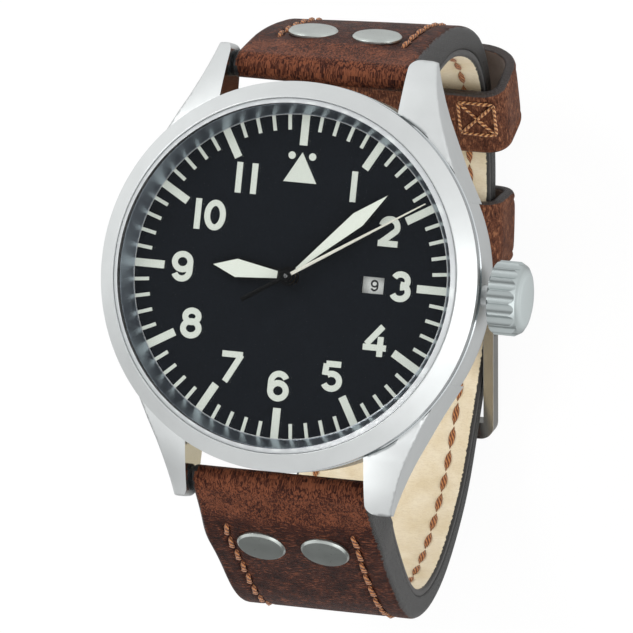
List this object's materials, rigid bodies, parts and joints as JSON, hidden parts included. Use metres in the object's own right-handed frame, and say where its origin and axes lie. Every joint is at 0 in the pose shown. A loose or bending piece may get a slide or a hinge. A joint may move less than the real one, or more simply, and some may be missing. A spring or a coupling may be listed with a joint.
{
  "type": "pilot watch",
  "caption": "Round steel pilot wristwatch with crown, hands and date window on a riveted leather strap buckled into a wrist loop.",
  "frame": {"origin": "centre of the case back's flat outer face", "axes": "+Z out through the dial, +Y to 12 o'clock, +X to the crown"},
  "size_m": [0.0467, 0.0646, 0.0548],
  "materials": {
    "case_steel": "bead-blasted steel",
    "bright_steel": "polished steel",
    "crystal_glass": "clear crystal, bevelled edge",
    "black_rubber": "black gasket rubber",
    "dial_black": "matte black dial paint",
    "mark_white": "luminous paint",
    "date_white": "white paint",
    "hand_black": "black hand paint",
    "plate_nickel": "nickel-plated movement plate",
    "wheel_brass": "gilt wheel brass",
    "blued_steel": "blued spring steel",
    "spring_steel": "spring steel",
    "tungsten": "heavy rotor metal",
    "strap_brown": "waxed brown leather",
    "strap_lining": "undyed lining leather",
    "rivet_steel": "polished rivet steel",
    "buckle_steel": "brushed buckle steel"
  },
  "bodies": {
    "case": {"case_middle": "case_steel", "bezel": "case_steel", "crystal": "crystal_glass", "crystal_gasket": "black_rubber", "flange_ring": "bright_steel", "dial": "dial_black", "minute_track": "mark_white", "case_back": "bright_steel", "case_back_gasket": "black_rubber", "movement_holder": "spring_steel", "mainplate": "plate_nickel", "barrel_bridge": "plate_nickel", "train_bridge": "plate_nickel", "balance_cock": "plate_nickel", "barrel_arbor": "spring_steel", "ratchet_wheel": "spring_steel", "hairspring": "blued_steel", "rotor_bearing": "spring_steel", "crown_tube": "spring_steel", "short_strap_leather": "strap_brown", "short_strap_lining": "strap_lining", "long_strap_leather": "strap_brown", "long_strap_lining": "strap_lining", "short_strap_rivets": "rivet_steel", "long_strap_rivets": "rivet_steel", "spring_bar_12": "spring_steel", "spring_bar_6": "spring_steel", "fixed_keeper": "strap_brown", "buckle_bar": "buckle_steel"},
    "seconds": {"seconds_wheel": "wheel_brass", "seconds_hand": "mark_white"},
    "minutes": {"centre_wheel": "wheel_brass", "cannon_pinion": "spring_steel", "minute_hand": "hand_black", "minute_hand_insert": "mark_white"},
    "hours": {"hour_wheel": "wheel_brass", "hour_hand": "hand_black", "hour_hand_insert": "mark_white"},
    "minute_wheel": {"minute_wheel": "wheel_brass"},
    "third_wheel": {"third_wheel": "wheel_brass"},
    "escape_wheel": {"escape_wheel": "spring_steel"},
    "pallet_fork": {"pallet_fork": "spring_steel"},
    "barrel": {"mainspring_barrel": "wheel_brass", "mainspring": "blued_steel"},
    "balance": {"balance_wheel": "wheel_brass"},
    "date": {"date_ring": "date_white"},
    "rotor": {"rotor_plate": "plate_nickel", "rotor_weight": "tungsten"},
    "clutch": {"clutch_wheel": "spring_steel"},
    "crown": {"crown": "case_steel", "winding_stem": "spring_steel", "crown_gasket": "black_rubber"},
    "keeper": {"free_keeper": "strap_brown"},
    "buckle": {"buckle_frame": "buckle_steel"},
    "tongue": {"buckle_tongue": "buckle_steel"},
    "pin_12_crown_side": {"pin_12_crown_side": "spring_steel"},
    "pin_12_far_side": {"pin_12_far_side": "spring_steel"},
    "pin_6_crown_side": {"pin_6_crown_side": "spring_steel"},
    "pin_6_far_side": {"pin_6_far_side": "spring_steel"}
  },
  "joints": [
    {"name": "seconds_turn", "type": "hinge", "parent": "case", "child": "seconds", "pos_m": [0, 0, 0], "axis": [0, 0, -1], "continuous": true},
    {"name": "minutes_turn", "type": "hinge", "parent": "case", "child": "minutes", "pos_m": [0, 0, 0], "axis": [0, 0, -1], "continuous": true},
    {"name": "hours_turn", "type": "hinge", "parent": "case", "child": "hours", "pos_m": [0, 0, 0], "axis": [0, 0, -1], "continuous": true},
    {"name": "minute_wheel_turn", "type": "hinge", "parent": "case", "child": "minute_wheel", "pos_m": [0.00236, 0.00136, 0], "axis": [0, 0, -1], "continuous": true},
    {"name": "third_wheel_turn", "type": "hinge", "parent": "case", "child": "third_wheel", "pos_m": [-0.00183, -0.00316, 0], "axis": [0, 0, -1], "continuous": true},
    {"name": "escape_wheel_turn", "type": "hinge", "parent": "case", "child": "escape_wheel", "pos_m": [0.00355, -0.00063, 0], "axis": [0, 0, -1], "continuous": true},
    {"name": "barrel_turn", "type": "hinge", "parent": "case", "child": "barrel", "pos_m": [-0.00253, 0.00695, 0], "axis": [0, 0, -1], "continuous": true},
    {"name": "pallet_rock", "type": "hinge", "parent": "case", "child": "pallet_fork", "pos_m": [0.00493, -0.00227, 0], "axis": [0, 0, -1], "range_deg": [-3, 3]},
    {"name": "balance_swing", "type": "hinge", "parent": "case", "child": "balance", "pos_m": [0.0071, -0.0056, 0], "axis": [0, 0, -1], "range_deg": [-270, 270], "stiffness_Nm_per_rad": 0.00000018, "deforming": ["hairspring"]},
    {"name": "date_turn", "type": "hinge", "parent": "case", "child": "date", "pos_m": [0, 0, 0], "axis": [0, 0, -1], "continuous": true},
    {"name": "rotor_turn", "type": "hinge", "parent": "case", "child": "rotor", "pos_m": [0, 0, 0], "axis": [0, 0, -1], "continuous": true},
    {"name": "crown_turn", "type": "hinge", "parent": "case", "child": "clutch", "pos_m": [0, 0, 0.0056], "axis": [1, 0, 0], "continuous": true},
    {"name": "crown_pull", "type": "slide", "parent": "clutch", "child": "crown", "axis": [1, 0, 0], "range_m": [0, 0.0012]},
    {"name": "keeper_slide", "type": "slide", "parent": "case", "child": "keeper", "axis": [0, -0.7697, -0.6385], "range_m": [-0.0008, 0.0006]},
    {"name": "buckle_turn", "type": "hinge", "parent": "case", "child": "buckle", "pos_m": [0, -0.003, -0.0367], "axis": [1, 0, 0], "range_deg": [0, 10]},
    {"name": "tongue_turn", "type": "hinge", "parent": "buckle", "child": "tongue", "pos_m": [0, -0.003, -0.0367], "axis": [1, 0, 0], "range_deg": [0, 8]},
    {"name": "push_12_crown_side", "type": "slide", "parent": "case", "child": "pin_12_crown_side", "axis": [-1, 0, 0], "range_m": [0, 0.0009], "stiffness_N_per_m": 400},
    {"name": "push_12_far_side", "type": "slide", "parent": "case", "child": "pin_12_far_side", "axis": [1, 0, 0], "range_m": [0, 0.0009], "stiffness_N_per_m": 400},
    {"name": "push_6_crown_side", "type": "slide", "parent": "case", "child": "pin_6_crown_side", "axis": [-1, 0, 0], "range_m": [0, 0.0009], "stiffness_N_per_m": 400},
    {"name": "push_6_far_side", "type": "slide", "parent": "case", "child": "pin_6_far_side", "axis": [1, 0, 0], "range_m": [0, 0.0009], "stiffness_N_per_m": 400}
  ],
  "couplings": [
    {"joint": "minutes_turn", "follows": "seconds_turn", "ratio": 0.016667},
    {"joint": "hours_turn", "follows": "seconds_turn", "ratio": 0.0013889},
    {"joint": "minute_wheel_turn", "follows": "seconds_turn", "ratio": -0.0055556},
    {"joint": "third_wheel_turn", "follows": "seconds_turn", "ratio": -0.13333},
    {"joint": "barrel_turn", "follows": "seconds_turn", "ratio": -0.0041667},
    {"joint": "escape_wheel_turn", "follows": "seconds_turn", "ratio": -12}
  ]
}
